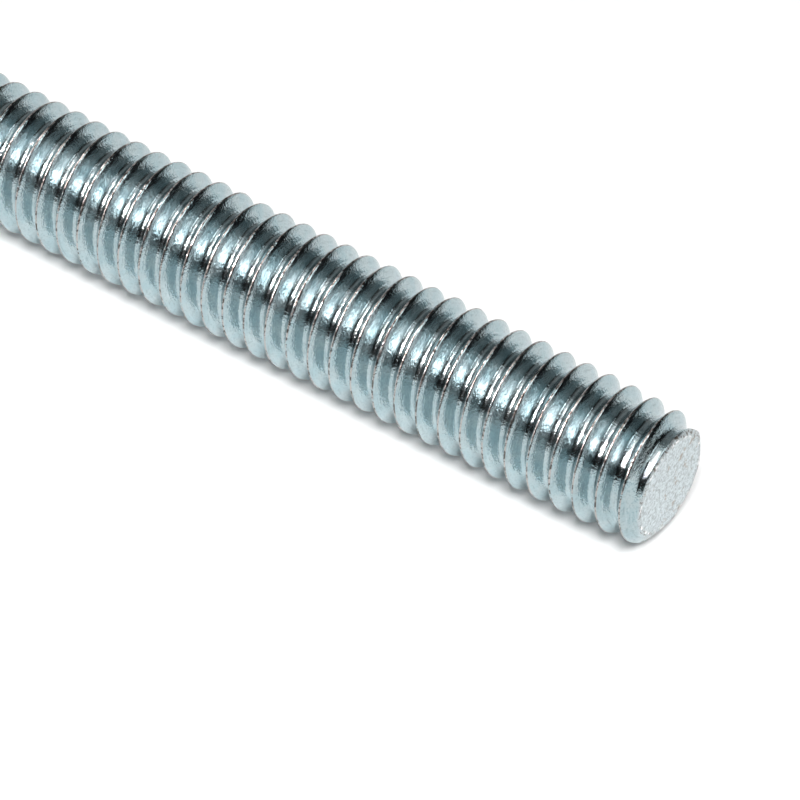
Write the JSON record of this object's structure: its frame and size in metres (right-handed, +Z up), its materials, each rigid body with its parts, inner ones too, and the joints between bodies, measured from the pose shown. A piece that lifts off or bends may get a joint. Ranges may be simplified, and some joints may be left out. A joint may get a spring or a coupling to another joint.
{
  "type": "threaded rod",
  "caption": "Fully threaded steel rod with a right-hand 60 degree coarse thread, bright zinc plating and both ends chamfered down to the thread root.",
  "frame": {"origin": "centre of the flat far end face, on the rod's axis", "axes": "+X along the rod from the far end face to the near end face, +Z up, the rod lying level"},
  "size_m": [0.0762, 0.0076, 0.0076],
  "materials": {
    "zinc_plated_steel": "rolled steel, electroplated zinc with a clear bluish passivation"
  },
  "bodies": {
    "root": {"threaded_rod": "zinc_plated_steel"}
  },
  "joints": []
}
